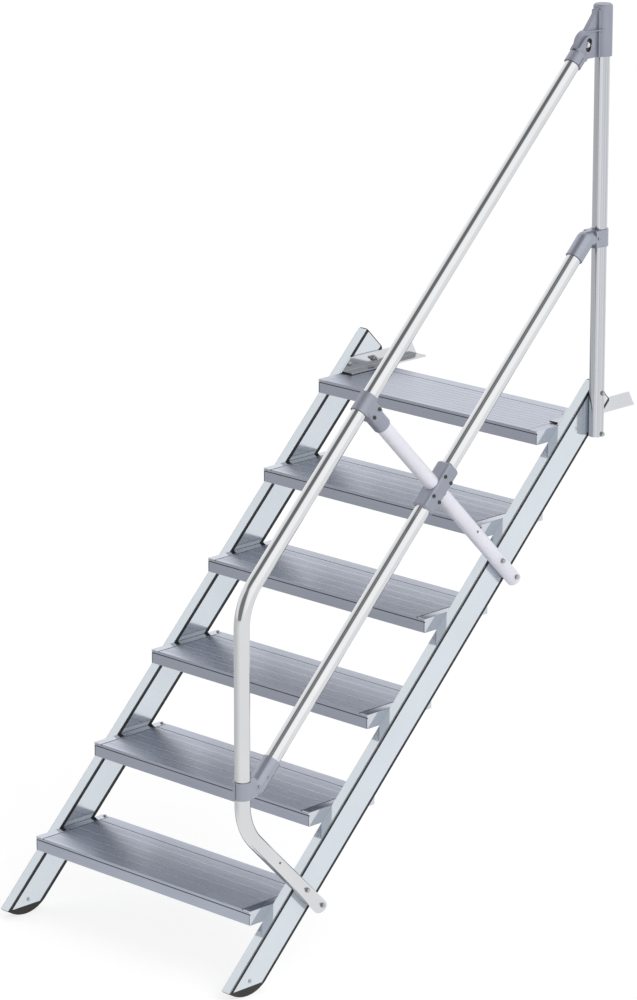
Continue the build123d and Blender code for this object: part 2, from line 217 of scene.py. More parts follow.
def edge_middle(edge):
    return (edge.verts[0].co + edge.verts[1].co) / 2


def edge_way(edge):
    return (edge.verts[1].co - edge.verts[0].co).normalized()


def fix_in_place(piece):
    """Move a piece's place, turn and scale into its mesh."""
    take(piece)
    bpy.ops.object.transform_apply(location=True, rotation=True, scale=True)


def settle(piece, place):
    """Move a piece from the frame it was modelled in to its place and fix it there."""
    piece.matrix_world = place
    fix_in_place(piece)


def tidy_normals(piece):
    edit(piece, "VERT")
    bpy.ops.mesh.select_all(action="SELECT")
    bpy.ops.mesh.remove_doubles(threshold=1e-6)
    bpy.ops.mesh.normals_make_consistent(inside=False)
    leave()


def smooth(piece, degrees=32):
    take(piece)
    bpy.ops.object.shade_smooth_by_angle(angle=math.radians(degrees))
    flats = piece.modifiers.new("flat_faces", "WEIGHTED_NORMAL")
    flats.keep_sharp = True
    bpy.ops.object.modifier_apply(modifier=flats.name)


def finish_piece(piece, name, finish, nodes=()):
    piece.name = name
    piece.data.name = name
    piece.data.materials.clear()
    piece.data.materials.append(finish)
    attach(piece, "root")
    if nodes:
        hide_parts(*nodes)


def copy_of(piece, place):
    """A copy with its own mesh, moved on by a matrix."""
    twin = piece.copy()
    twin.data = piece.data.copy()
    bpy.context.collection.objects.link(twin)
    settle(twin, place)
    return twin


def join(pieces):
    deselect()
    for piece in pieces:
        piece.select_set(True)
    bpy.context.view_layer.objects.active = pieces[0]
    if len(pieces) > 1:
        bpy.ops.object.join()
    return pieces[0]


def bevelled(piece, width, segments=2, degrees=40):
    """Round the sharp edges of a piece a little, as on the real one."""
    take(piece)
    rounding = piece.modifiers.new("edge_rounding", "BEVEL")
    rounding.width = width
    rounding.segments = segments
    rounding.limit_method = "ANGLE"
    rounding.angle_limit = math.radians(degrees)
    rounding.use_clamp_overlap = True
    bpy.ops.object.modifier_apply(modifier=rounding.name)


def solid_copy(node):
    """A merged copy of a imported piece, ready for finer edges."""
    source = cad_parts[node]
    piece = source.copy()
    piece.data = source.data.copy()
    piece.parent = None
    piece.matrix_world = Matrix.Identity(4)
    bpy.context.collection.objects.link(piece)
    edit(piece, "VERT")
    bpy.ops.mesh.select_all(action="SELECT")
    bpy.ops.mesh.remove_doubles(threshold=2e-6)
    bpy.ops.mesh.dissolve_limited(angle_limit=math.radians(0.2))
    leave()
    return piece


# Finishes


def finish_nodes(name):
    finish = bpy.data.materials.new(name)
    finish.use_nodes = True
    tree = finish.node_tree
    shader = tree.nodes["Principled BSDF"]
    return finish, tree, shader


def place_pattern(tree, scale, turn=(0, 0, 0)):
    """Object coordinates, turned to lie along a piece and then stretched."""
    coords = tree.nodes.new("ShaderNodeTexCoord")
    turned = tree.nodes.new("ShaderNodeMapping")
    turned.inputs["Rotation"].default_value = turn
    stretched = tree.nodes.new("ShaderNodeMapping")
    stretched.inputs["Scale"].default_value = scale
    tree.links.new(coords.outputs["Object"], turned.inputs["Vector"])
    tree.links.new(turned.outputs["Vector"], stretched.inputs["Vector"])
    return stretched.outputs["Vector"]


def noise(tree, vector, scale, detail=3.0, roughness=0.5):
    cloud = tree.nodes.new("ShaderNodeTexNoise")
    cloud.inputs["Scale"].default_value = scale
    cloud.inputs["Detail"].default_value = detail
    cloud.inputs["Roughness"].default_value = roughness
    tree.links.new(vector, cloud.inputs["Vector"])
    return cloud.outputs["Fac"]


def spread(tree, value, low, high, start=0.3, end=0.7):
    ranged = tree.nodes.new("ShaderNodeMapRange")
    ranged.inputs["From Min"].default_value = start
    ranged.inputs["From Max"].default_value = end
    ranged.inputs["To Min"].default_value = low
    ranged.inputs["To Max"].default_value = high
    tree.links.new(value, ranged.inputs["Value"])
    return ranged.outputs["Result"]


def two_tones(tree, value, dark, light, start=0.3, end=0.7):
    ramp = tree.nodes.new("ShaderNodeValToRGB")
    ramp.color_ramp.elements[0].position = start
    ramp.color_ramp.elements[0].color = (*dark, 1)
    ramp.color_ramp.elements[1].position = end
    ramp.color_ramp.elements[1].color = (*light, 1)
    tree.links.new(value, ramp.inputs["Fac"])
    return ramp.outputs["Color"]


def add_bump(tree, shader, value, strength, distance):
    bump = tree.nodes.new("ShaderNodeBump")
    bump.inputs["Strength"].default_value = strength
    bump.inputs["Distance"].default_value = distance
    tree.links.new(value, bump.inputs["Height"])
    tree.links.new(bump.outputs["Normal"], shader.inputs["Normal"])


def drawn_metal(name, dark, light, rough_low, rough_high, grain, turn=(0, 0, 0), bump=0.03,
                metallic=1.0, tone_scale=(6, 6, 6), tone_edges=(0.3, 0.7)):
    """Aluminium with fine lines along the way it was drawn or pressed, and a tone that varies;
    stretched and sharpened, that tone makes painted reflection bands.
    """
    finish, tree, shader = finish_nodes(name)
    shader.inputs["Metallic"].default_value = metallic
    lines = noise(tree, place_pattern(tree, grain, turn), 1.0, 4.0, 0.6)
    clouds = noise(tree, place_pattern(tree, tone_scale), 1.0, 2.0)
    tree.links.new(two_tones(tree, clouds, dark, light, *tone_edges), shader.inputs["Base Color"])
    tree.links.new(spread(tree, lines, rough_low, rough_high), shader.inputs["Roughness"])
    add_bump(tree, shader, lines, bump, 0.0004)
    return finish


def grained(name, dark, light, metallic, rough_low, rough_high, grain, bump, depth):
    """Cast, coated or moulded surface with an even fine grain."""
    finish, tree, shader = finish_nodes(name)
    shader.inputs["Metallic"].default_value = metallic
    vector = place_pattern(tree, (1, 1, 1))
    specks = noise(tree, vector, grain, 3.0, 0.6)
    clouds = noise(tree, vector, 14.0, 2.0)
    tree.links.new(two_tones(tree, clouds, dark, light), shader.inputs["Base Color"])
    tree.links.new(spread(tree, specks, rough_low, rough_high), shader.inputs["Roughness"])
    add_bump(tree, shader, specks, bump, depth)
    return finish


along_slope = (-slope_angle, 0, 0)
stringer_metal = drawn_metal("stringer_aluminium", (0.80, 0.86, 0.92), (0.83, 0.89, 0.95),
                             0.1, 0.16, (300, 4, 300), along_slope, 0.004, 0.85)
tread_metal = drawn_metal("tread_aluminium", (0.485, 0.52, 0.615), (0.515, 0.55, 0.645),
                          0.26, 0.34, (3, 420, 420), (0, 0, 0), 0.01)
# Rib crowns: a brighter copy of the tread aluminium with a little less roughness; the brighter tone
# is a painted highlight along the ribs
rib_painted_highlight = drawn_metal("tread_rib_painted_highlight_aluminium", (0.57, 0.61, 0.71), (0.61, 0.65, 0.75),
                        0.2, 0.3, (3, 420, 420), (0, 0, 0), 0.01)
# Paler finish on the parts of the tread underside that the floor lights, painted light; the shaded
# parts keep the tread aluminium
underside_painted_light = grained("tread_underside_painted_light_aluminium", (0.80, 0.81, 0.86), (0.84, 0.85, 0.90),
                          0.1, 0.5, 0.6, 700, 0.05, 0.0002)
tread_end_metal = drawn_metal("tread_end_aluminium", (0.74, 0.78, 0.85), (0.78, 0.82, 0.89),
                              0.06, 0.11, (300, 4, 300), (0, 0, 0), 0.004)
# Flange tops of the end angles: a darker copy of the end angles' aluminium, painted shade
flange_painted_shade = drawn_metal("tread_flange_painted_shade_aluminium", (0.58, 0.615, 0.685), (0.61, 0.645, 0.715),
                           0.08, 0.14, (300, 4, 300), (0, 0, 0), 0.004)
# Top of the brackets' flat legs: a darker copy of the bracket aluminium, painted shade
seat_painted_shade = drawn_metal("bracket_seat_painted_shade_aluminium", (0.50, 0.52, 0.56), (0.54, 0.56, 0.60),
                         0.14, 0.22, (300, 4, 300), (0, 0, 0), 0.004)
bracket_metal = drawn_metal("bracket_aluminium", (0.78, 0.80, 0.83), (0.83, 0.85, 0.88),
                            0.08, 0.14, (300, 4, 300), (0, 0, 0), 0.004)
rail_metal = drawn_metal("rail_aluminium", (0.82, 0.83, 0.85), (0.87, 0.88, 0.90),
                         0.07, 0.12, (260, 5, 260), along_slope, 0.004)
# Upright rail: its tone is stretched along the tube and sharpened into light and dark bands,
# painted reflection
upright_painted_reflection = drawn_metal("upright_rail_painted_reflection_bands", (0.62, 0.645, 0.685), (0.80, 0.82, 0.86),
                            0.10, 0.16, (260, 260, 5), (0, 0, 0), 0.004,
                            tone_scale=(150, 150, 0.3), tone_edges=(0.42, 0.58))
brace_coat = grained("brace_aluminium", (0.80, 0.80, 0.88), (0.84, 0.84, 0.92),
                     0.25, 0.42, 0.5, 900, 0.05, 0.0002)
casting = grained("fitting_casting", (0.345, 0.365, 0.435), (0.375, 0.395, 0.465),
                  0.55, 0.34, 0.46, 1400, 0.12, 0.0003)
# Knee rail clamps: a lighter, shinier copy of the fitting casting; the lighter tone is painted
# light
lighter_casting_painted_light = grained("lighter_casting_painted_light", (0.40, 0.425, 0.505), (0.435, 0.46, 0.54),
                        0.7, 0.22, 0.32, 1400, 0.08, 0.0003)
cap_plastic = grained("dark_plastic", (0.035, 0.036, 0.042), (0.05, 0.05, 0.058),
                      0.0, 0.42, 0.55, 1800, 0.1, 0.0002)
sole_rubber = grained("foot_rubber", (0.030, 0.030, 0.028), (0.042, 0.041, 0.038),
                      0.0, 0.6, 0.75, 900, 0.25, 0.0004)
bolt_steel = grained("fastener_steel", (0.52, 0.52, 0.55), (0.60, 0.60, 0.63),
                     0.9, 0.26, 0.36, 1500, 0.06, 0.0001)
rivet_steel = grained("rivet_steel", (0.20, 0.20, 0.22), (0.24, 0.24, 0.26),
                      0.6, 0.3, 0.4, 1500, 0.06, 0.0001)
# Near-black finish painted as the shade in narrow grooves, seams and gaps (the stringer lines, the
# treads' nose lines, joints and seams), and as the dark reflection on the brackets' flat-leg ends
painted_gap_shade = grained("painted_shade_in_gaps", (0.020, 0.023, 0.028), (0.030, 0.033, 0.038),
                       0.0, 0.5, 0.6, 600, 0.05, 0.0002)
bright_steel = grained("bright_bolt_steel", (0.84, 0.84, 0.87), (0.90, 0.90, 0.93),
                       0.9, 0.2, 0.28, 1500, 0.04, 0.0001)
# Near-black finish: painted shade in the hinge bolt's recess, and the dark heads of the fitting
# bolts
socket_shade = grained("painted_recess_shade_and_dark_buttons", (0.05, 0.05, 0.055), (0.07, 0.07, 0.075),
                       0.2, 0.45, 0.55, 900, 0.05, 0.0002)

# Stringers: bar with rounded edges, two lines pressed into each side with their floors painted dark
# as shade, level cut at the foot
bar_points = [slope_frame.inverted() @ Vector(v.co)
              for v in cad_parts["stringer_right"].data.vertices]
stringer_top_s = max(point.y for point in bar_points)
foot_s = (cut_z - base_z) / sin_a


def stringer(side, face, outward, groove_width):
    middle_x = face + outward * stringer_width / 2
    start_s = foot_s - stringer_depth * 1.2
    bpy.ops.mesh.primitive_cube_add(size=1)
    bar = bpy.context.object
    bar.dimensions = (stringer_width, stringer_top_s - start_s, stringer_depth)
    bar.location = (middle_x, (stringer_top_s + start_s) / 2, stringer_mid_n)
    fix_in_place(bar)
    edit(bar, "EDGE")
    for away, rounding in ((outward, stringer_edge_round), (-outward, inner_edge_round)):
        corner_x = middle_x + away * stringer_width / 2

        def long_corner(edge):
            return abs(edge_way(edge).y) > 0.99 and abs(edge_middle(edge).x - corner_x) < 0.01 * MM

        pick(bar, "EDGE", long_corner)
        bpy.ops.mesh.bevel(offset=rounding, segments=4, profile=0.5)
    for edge_n in (-nose_to_stringer, -nose_to_stringer - stringer_depth):
        inward = 1 if edge_n < stringer_mid_n else -1
        for reach in (groove_inset - groove_width / 2, groove_inset + groove_width / 2):
            bpy.ops.mesh.select_all(action="SELECT")
            bpy.ops.mesh.bisect(plane_co=(middle_x, 0, edge_n + inward * reach), plane_no=(0, 0, 1))
    bpy.ops.mesh.select_mode(type="FACE")

    def in_groove(face_item):
        centre = face_item.calc_center_median()
        if abs(face_item.normal.x) < 0.9:
            return False
        from_edge = stringer_depth / 2 - abs(centre.z - stringer_mid_n)
        return abs(from_edge - groove_inset) < groove_width / 4

    pick(bar, "FACE", in_groove)
    bpy.ops.mesh.inset(thickness=0, depth=-groove_depth)
    leave()
    settle(bar, slope_frame)
    edit(bar, "VERT")
    bpy.ops.mesh.select_all(action="SELECT")
    bpy.ops.mesh.bisect(plane_co=(0, 0, cut_z), plane_no=(0, 0, 1), use_fill=True, clear_inner=True)
    leave()
    tidy_normals(bar)
    smooth(bar)
    finish_piece(bar, "stringer_bar_" + side, stringer_metal,
                 ["stringer_" + side])
    # The floors of the pressed lines get the near-black finish: painted shade
    bar.data.materials.append(painted_gap_shade)
    sunk = stringer_width / 2 - groove_depth * 0.9
    back = slope_frame.inverted()
    for polygon in bar.data.polygons:
        centre = back @ polygon.center
        off_middle = abs(centre.x - middle_x)
        from_edge = stringer_depth / 2 - abs(centre.z - stringer_mid_n)
        lined = abs(from_edge - groove_inset) < groove_width * 0.6
        if lined and sunk - groove_depth < off_middle < stringer_width / 2 - groove_depth * 0.1:
            polygon.material_index = 1


stringer("left", left_face, -1, far_line)
stringer("right", right_face, 1, near_line)

# Caps and feet keep the solid's shape with moulded edges
for side in ("left", "right"):
    cap = solid_copy("stringer_cap_" + side)
    bevelled(cap, moulded_round)
    smooth(cap)
    finish_piece(cap, "stringer_end_cap_" + side, cap_plastic,
                 ["stringer_cap_" + side])
    shoe = solid_copy("foot_" + side)
    bevelled(shoe, shoe_round)
    smooth(shoe)
    finish_piece(shoe, "foot_shoe_" + side, sole_rubber, ["foot_" + side])

# Treads and their end angles


def lift_valleys(plank, top_z):
    """Raise the flats between the ribs, so that the ribs are as fine as the real ones."""
    edit(plank, "VERT")
    pick(plank, "VERT", lambda v: abs(v.co.z - top_z + valley_below_top) < 0.05 * MM)
    bpy.ops.transform.translate(value=(0, 0, rib_lift))
    leave()


def open_seam(ends, middle_x):
    """Draw the flanges' inner edges back, so that the seam beside them shows."""
    for outward_side in (-1, 1):
        edge_x = middle_x + outward_side * (tread_width / 2 - end_flange)
        edit(ends, "VERT")
        pick(ends, "VERT", lambda v: abs(v.co.x - edge_x) < flush)
        bpy.ops.transform.translate(value=(outward_side * seam_widening, 0, 0))
        leave()


def cut_through(piece, *planes):
    """Cut the faces of a piece along planes, so that a finish can end there."""
    edit(piece, "FACE")
    for place, way in planes:
        bpy.ops.mesh.select_all(action="SELECT")
        bpy.ops.mesh.bisect(plane_co=place, plane_no=way)
    leave()


def in_nose_line(centre, front_y, top_z):
    sunk = front_y + 0.1 * MM < centre.y < front_y + nose_line_floor
    return sunk and abs(centre.z - top_z + nose_line_below_top) < nose_line_half


def on_main_rib(back):
    """True on the front bead and the broad ribs, not on the fine ones midway."""
    steps = (back - front_bead / 2) / rib_pitch
    return abs(steps - round(steps)) * rib_pitch < rib_width / 2 + 0.3 * MM


def on_lit_underside(back, depth, normal):
    """True on the parts of the hollow underside that the floor lights; these get the paler finish,
    painted light.
    """
    if depth < plate_depth - flush:
        return False
    if (normal.y < -0.5 and back < 1 * MM) or (normal.y > 0.5 and back > tread_depth - 1 * MM):
        return False
    if abs(back - rear_web) < 2 * MM:
        return depth < shade_line
    return back < rear_web or depth > shade_line


def tread_finish(centre, normal, front_y, top_z, plain_top):
    """Which finish a face of the plank has: 0 plain, 1 rib crown with a painted highlight, 2
    underside with painted light, 3 dark line of painted shade.
    """
    back = centre.y - front_y
    depth = top_z - centre.z
    if in_nose_line(centre, front_y, top_z):
        return 3
    if on_lit_underside(back, depth, normal):
        return 2
    if plain_top:
        return 0
    if abs(back - joint_from_front) < joint_half and depth > 0.5 * MM and normal.z > -0.5:
        return 3
    if abs(depth - end_recess) < flush and normal.z > 0.9:
        return 3
    if depth < flush and back < joint_from_front - 1 * MM and on_main_rib(back):
        return 1
    return 0


def end_finish(centre, normal, front_y, top_z):
    """Which finish a face of the end angles has: 0 plain, 1 dark line of painted shade, 2 flange
    top in a darker copy of the metal, painted shade.
    """
    from_end = tread_width / 2 - abs(centre.x - tread_middle_x)
    if in_nose_line(centre, front_y, top_z):
        return 1
    # A strip of the end plates' front edge below the nose line, and the flange edges beside the
    # stringers, are painted near-black as the shade in their seams
    if normal.y < -0.7 and top_z - centre.z > nose_line_below_top:
        return int(seam_strip < from_end < end_plate)
    if normal.z > 0.7:
        behind_front = -nose_to_stringer - (slope_frame.inverted() @ centre).z
        beside_stringer = 0 < behind_front < stringer_depth
        return 1 if beside_stringer and from_end < seam_strip else 2
    return 0


tread_middle_x = (left_face + right_face) / 2
for number in range(1, tread_count + 1):
    name = "tread_" + str(number)
    top_z = base_z + (number - 1) * rise
    front_y = base_y + (number - 1) * run
    plain_top = number == tread_count
    plank = solid_copy(name)
    lift_valleys(plank, top_z)
    cut_through(plank, ((0, 0, top_z - shade_line), (0, 0, 1)))
    bevelled(plank, plank_round)
    smooth(plank)
    finish_piece(plank, name + "_plank", tread_metal, [name])
    for extra in (rib_painted_highlight, underside_painted_light, painted_gap_shade):
        plank.data.materials.append(extra)
    for polygon in plank.data.polygons:
        polygon.material_index = tread_finish(polygon.center, polygon.normal, front_y, top_z,
                                              plain_top)
    ends = solid_copy(name + "_end_angles")
    if not plain_top:
        open_seam(ends, tread_middle_x)
    cut_through(
        ends,
        ((left_face + seam_strip, 0, 0), (1, 0, 0)),
        ((right_face - seam_strip, 0, 0), (1, 0, 0)),
        (on_slope(0, 0, -nose_to_stringer), square_way),
        (on_slope(0, 0, -nose_to_stringer - stringer_depth), square_way),
    )
    bevelled(ends, end_angle_round)
    smooth(ends)
    finish_piece(ends, name + "_end_pair", tread_end_metal,
                 [name + "_end_angles"])
    ends.data.materials.append(painted_gap_shade)
    ends.data.materials.append(tread_metal if plain_top else flange_painted_shade)
    for polygon in ends.data.polygons:
        polygon.material_index = end_finish(polygon.center, polygon.normal, front_y, top_z)


def bracket_finish(centre, normal):
    """Which finish a face of a bracket has: 0 plain, 1 flat leg's top in a darker copy of the
    metal, painted shade, 2 front edge, 3 flat leg's end painted near-black as a dark reflection.
    """
    if centre.z < 2 * bracket_thickness:
        if normal.z > 0.9:
            return 1
        if normal.y < -0.9:
            return 3
    return 2 if normal.dot(square_way) > 0.9 else 0


for side in ("left", "right"):
    seat = solid_copy("top_bracket_" + side)
    bevelled(seat, bracket_round)
    smooth(seat)
    finish_piece(seat, "landing_bracket_" + side, bracket_metal,
                 ["top_bracket_" + side])
    for extra in (seat_painted_shade, stringer_metal, painted_gap_shade):
        seat.data.materials.append(extra)
    for polygon in seat.data.polygons:
        polygon.material_index = bracket_finish(polygon.center, polygon.normal)


# Round tubes, drawn out from one ring


def ring_at(place):
    bpy.ops.mesh.primitive_circle_add(vertices=tube_sides, radius=tube_radius, fill_type="NOTHING")
    ring = bpy.context.object
    settle(ring, place)
    edit(ring, "EDGE")
    bpy.ops.mesh.select_all(action="SELECT")
    return ring


def facing(point, way):
    """Placement whose local Z points along a tube."""
    turn = way.to_track_quat("Z", "X").to_matrix().to_4x4()
    return Matrix.Translation(point) @ turn


def wall(tube):
    """Give a drawn skin its wall thickness and ease the ends."""
    leave()
    tidy_normals(tube)
    take(tube)
    skin = tube.modifiers.new("wall", "SOLIDIFY")
    skin.thickness = tube_wall
    skin.offset = -1.0
    bpy.ops.object.modifier_apply(modifier=skin.name)
    bevelled(tube, tube_end_round, 2, 60)
    smooth(tube)


def straight_tube(start, end):
    ring = ring_at(facing(start, end - start))
    bpy.ops.mesh.extrude_region_move(TRANSFORM_OT_translate={"value": end - start})
    wall(ring)
    return ring


def tube_box_ends(node, way):
    """Two ends of a straight tube along one way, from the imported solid."""
    places = [Vector(v.co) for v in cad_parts[node].data.vertices]
    reach = [p.dot(way) for p in places]
    return min(reach), max(reach)


post = straight_tube(Vector((rail_x, post_y, post_low.z)), Vector((rail_x, post_y, post_high.z)))
finish_piece(post, "post_upright", upright_painted_reflection, ["post_tube"])


def along(node, origin, way):
    """Start and end of a straight tube node on the line through a point."""
    low, high = tube_box_ends(node, way)
    shift = origin.dot(way)
    return origin + way * (low - shift), origin + way * (high - shift)


knee_origin = on_slope(rail_x, 0, knee_offset)
knee = straight_tube(*along("knee_rail_tube", knee_origin, slope_way))
finish_piece(knee, "knee_rail", rail_metal, ["knee_rail_tube"])

brace_points = [slope_frame.inverted() @ Vector(v.co)
                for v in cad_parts["brace_upper_tube"].data.vertices]
brace_station = (min(p.y for p in brace_points) + max(p.y for p in brace_points)) / 2
brace_origin = on_slope(rail_x, brace_station, 0)
for part_name in ("upper", "lower"):
    node = "brace_" + part_name + "_tube"
    brace = straight_tube(*along(node, brace_origin, square_way))
    finish_piece(brace, "brace_" + part_name, brace_coat, [node])


def handrail():
    """Sloping rail, bend, upright part, second bend and leg in one drawn tube."""
    top_reach = tube_box_ends("handrail_tube", slope_way)[1]
    line = on_slope(rail_x, 0, rail_offset)
    top = line + slope_way * (top_reach - line.dot(slope_way))
    corner_high = on_slope(rail_x, station(newel_y, rail_offset), rail_offset)
    corner_low = Vector((rail_x, newel_y, base_z + (leg_station + newel_ahead * cos_a) / sin_a))
    end = on_slope(rail_x, leg_station, tube_end_n)
    tube = ring_at(facing(top, corner_high - top))
    here = top
    for corner, after in ((corner_high, corner_low), (corner_low, end)):
        way_in = (corner - here).normalized()
        way_out = (after - corner).normalized()
        turn = way_in.angle(way_out)
        back = bend_radius * math.tan(turn / 2)
        bend_start = corner - way_in * back
        inward = (way_out - way_in * way_in.dot(way_out)).normalized()
        axis = inward.cross(way_in)
        bpy.ops.mesh.extrude_region_move(TRANSFORM_OT_translate={"value": bend_start - here})
        bpy.ops.mesh.spin(steps=bend_steps, angle=turn, axis=axis,
                          center=bend_start + inward * bend_radius)
        here = corner + way_out * back
    bpy.ops.mesh.extrude_region_move(TRANSFORM_OT_translate={"value": end - here})
    wall(tube)
    return tube


rail = handrail()
finish_piece(rail, "handrail", rail_metal, ["handrail_tube"])

# Castings
for node, name in (
    ("post_cap", "post_head_casting"),
    ("rail_end_socket", "rail_hinge_casting"),
    ("knee_rail_clamps", "knee_rail_castings"),
    ("brace_top_clamp", "brace_head_casting"),
    ("brace_cross_fitting", "brace_cross_casting"),
):
    body = solid_copy(node)
    bevelled(body, casting_round, 3, 35)
    smooth(body, 35)
    # The knee rail clamps take the lighter copy of the casting, painted light
    cast_finish = lighter_casting_painted_light if node == "knee_rail_clamps" else casting
    finish_piece(body, name, cast_finish, [node])
    # The floor and walls of the hinge bolt's recess get the near-black finish: painted shade
    if node == "rail_end_socket":
        body.data.materials.append(socket_shade)
        for polygon in body.data.polygons:
            depth = polygon.center.x - rail_x
            off_hinge = math.hypot(polygon.center.y - hinge_y, polygon.center.z - hinge_z)
            in_recess = hinge_recess_floor - 0.5 * MM < depth < hinge_cheek_face - 1.5 * MM
            polygon.material_index = int(in_recess and off_hinge < recess_reach)

# Bolts and rivets


def hex_bolt(across_flats, height):
    """Hexagon head with a washer face, a chamfered crown and a flat washer under it."""
    radius = across_flats / 2 / math.cos(math.pi / 6)
    bpy.ops.mesh.primitive_cylinder_add(vertices=6, radius=radius, depth=height,
                                        location=(0, 0, height / 2 + washer_height))
    head = bpy.context.object
    fix_in_place(head)
    edit(head, "FACE")
    pick(head, "FACE", lambda f: f.normal.z > 0.9)
    bpy.ops.mesh.inset(thickness=radius * 0.14, depth=height * 0.12)
    bpy.ops.mesh.inset(thickness=radius * 0.2, depth=-height * 0.05)
    leave()
    bpy.ops.mesh.primitive_cylinder_add(vertices=28, radius=radius * 1.22,
                                        depth=washer_height, location=(0, 0, washer_height / 2))
    washer = bpy.context.object
    fix_in_place(washer)
    edit(washer, "FACE")
    pick(washer, "FACE", lambda f: f.normal.z > 0.9)
    bpy.ops.mesh.inset(thickness=0.4 * MM, depth=0)
    leave()
    bolt = join([head, washer])
    bevelled(bolt, fastener_round, 2, 30)
    smooth(bolt)
    return bolt


def round_bolt(radius, height, socket=True):
    """Button head with a domed crown and, when socket is set, a round socket sunk into it."""
    bpy.ops.mesh.primitive_cylinder_add(vertices=32, radius=radius, depth=height,
                                        location=(0, 0, height / 2))
    head = bpy.context.object
    fix_in_place(head)
    edit(head, "EDGE")
    pick(head, "EDGE", lambda e: edge_middle(e).z > height * 0.9 and abs(edge_way(e).z) < 0.1)
    bpy.ops.mesh.bevel(offset=height * 0.7, segments=5, profile=0.5)
    bpy.ops.mesh.select_mode(type="FACE")
    if socket:
        pick(head, "FACE", lambda f: f.normal.z > 0.99 and f.calc_center_median().z > height * 0.9)
        bpy.ops.mesh.inset(thickness=radius * 0.18, depth=0)
        bpy.ops.mesh.inset(thickness=0.2 * MM, depth=-height * 0.5)
    leave()
    smooth(head, 40)
    return head


def nut_on_bolt(across_flats, nut_height, end_radius, end_reach):
    """Hexagon nut on a washer with the bolt's chamfered end standing out of it."""
    nut = hex_bolt(across_flats, nut_height)
    bpy.ops.mesh.primitive_cylinder_add(vertices=24, radius=end_radius, depth=end_reach,
                                        location=(0, 0, end_reach / 2))
    end = bpy.context.object
    fix_in_place(end)
    edit(end, "FACE")
    pick(end, "FACE", lambda f: f.normal.z > 0.9)
    bpy.ops.mesh.inset(thickness=0.8 * MM, depth=0.8 * MM)
    leave()
    smooth(end)
    return join([nut, end])


outward = Matrix.Rotation(math.pi / 2, 4, "Y")


def facing_out(point):
    """Placement of a bolt whose head looks to the right side of the stair."""
    return Matrix.Translation(point) @ outward


tube_flank = rail_x + tube_radius - sunk_into_tube
bolt_pattern = hex_bolt(10 * MM, 5.5 * MM)
rivet_pattern = round_bolt(5 * MM, 2.6 * MM, False)
button_pattern = round_bolt(5.2 * MM, 3.6 * MM, True)
hinge_pattern = hex_bolt(11 * MM, 3.6 * MM)
dome_pattern = round_bolt(7 * MM, 7 * MM, False)
tube_rivet_pattern = round_bolt(3.2 * MM, 1.8 * MM, False)
clamp_bolt_pattern = round_bolt(4.2 * MM, 3 * MM, True)
stud_pattern = round_bolt(4.5 * MM, 4 * MM, False)
nut_pattern = nut_on_bolt(13 * MM, 7 * MM, 4 * MM, 18 * MM)

leg_bolts = []
for s in (leg_station, brace_station):
    for n in stringer_bolt_n:
        leg_bolts.append(copy_of(bolt_pattern, facing_out(on_slope(tube_flank, s, n))))
for z in post_bolt_heights:
    leg_bolts.append(copy_of(bolt_pattern, facing_out(Vector((tube_flank, post_y, z)))))
finish_piece(join(leg_bolts), "stringer_bolts", bolt_steel)

tube_rivets = []
for s, n in ((leg_station, leg_rivet_n), (brace_station, brace_rivet_n)):
    tube_rivets.append(copy_of(tube_rivet_pattern, facing_out(on_slope(tube_flank, s, n))))
finish_piece(join(tube_rivets), "tube_rivets", rivet_steel)

foot_rivets = []
foot_rivet_y = base_y - foot_rivet_ahead
foot_rivet_z = base_z - foot_rivet_below
for x in (left_face - sunk_into_plate, right_high.x - sunk_into_plate):
    foot_rivets.append(copy_of(rivet_pattern, facing_out(Vector((x, foot_rivet_y, foot_rivet_z)))))
finish_piece(join(foot_rivets), "foot_rivets", bolt_steel)

sleeve_flank = rail_x + sleeve_radius - sunk_into_sleeve
buttons = []
for ds in (-cross_bolt_along, cross_bolt_along):
    for dn in (-cross_bolt_across, cross_bolt_across):
        buttons.append(copy_of(button_pattern, facing_out(
            on_slope(sleeve_flank, brace_station + ds, knee_offset + dn))))
for ds in (-head_bolt_along, head_bolt_along):
    buttons.append(copy_of(button_pattern, facing_out(
        on_slope(sleeve_flank, brace_station + ds, head_bolt_n))))
finish_piece(join(buttons), "fitting_bolts", socket_shade)

clamp_bolts = []
for y, z in clamp_bolt_places:
    clamp_bolts.append(copy_of(clamp_bolt_pattern, facing_out(Vector((sleeve_flank, y, z)))))
finish_piece(join(clamp_bolts), "clamp_bolts", bolt_steel)

recess_floor_x = rail_x + hinge_recess_floor
hinge_bolt = copy_of(hinge_pattern, facing_out(Vector((recess_floor_x, hinge_y, hinge_z))))
finish_piece(hinge_bolt, "hinge_bolt", bright_steel)

# Nuts and round heads on the inner sides of the landing brackets, and studs on the tread flanges
nuts = []
domes = []
for face, inward in ((left_face, 1), (right_face, -1)):
    turn = Matrix.Rotation(inward * math.pi / 2, 4, "Y")
    leg_x = face + inward * bracket_thickness
    nuts.append(copy_of(nut_pattern, Matrix.Translation((leg_x, nut_y, nut_z)) @ turn))
    domes.append(copy_of(dome_pattern, Matrix.Translation((leg_x, dome_y, dome_z)) @ turn))
    for number in range(tread_count - 1):
        stud_x = face + inward * stud_from_face
        stud_y = base_y + number * run + stud_from_front
        stud_z = base_z + number * rise - sunk_into_plate
        domes.append(copy_of(stud_pattern, Matrix.Translation((stud_x, stud_y, stud_z))))
finish_piece(join(nuts), "bracket_nuts", bolt_steel)
finish_piece(join(domes), "bracket_and_flange_heads", bolt_steel)

for pattern in (bolt_pattern, rivet_pattern, button_pattern, hinge_pattern, dome_pattern,
                stud_pattern, nut_pattern, tube_rivet_pattern, clamp_bolt_pattern):
    bpy.data.objects.remove(pattern, do_unlink=True)

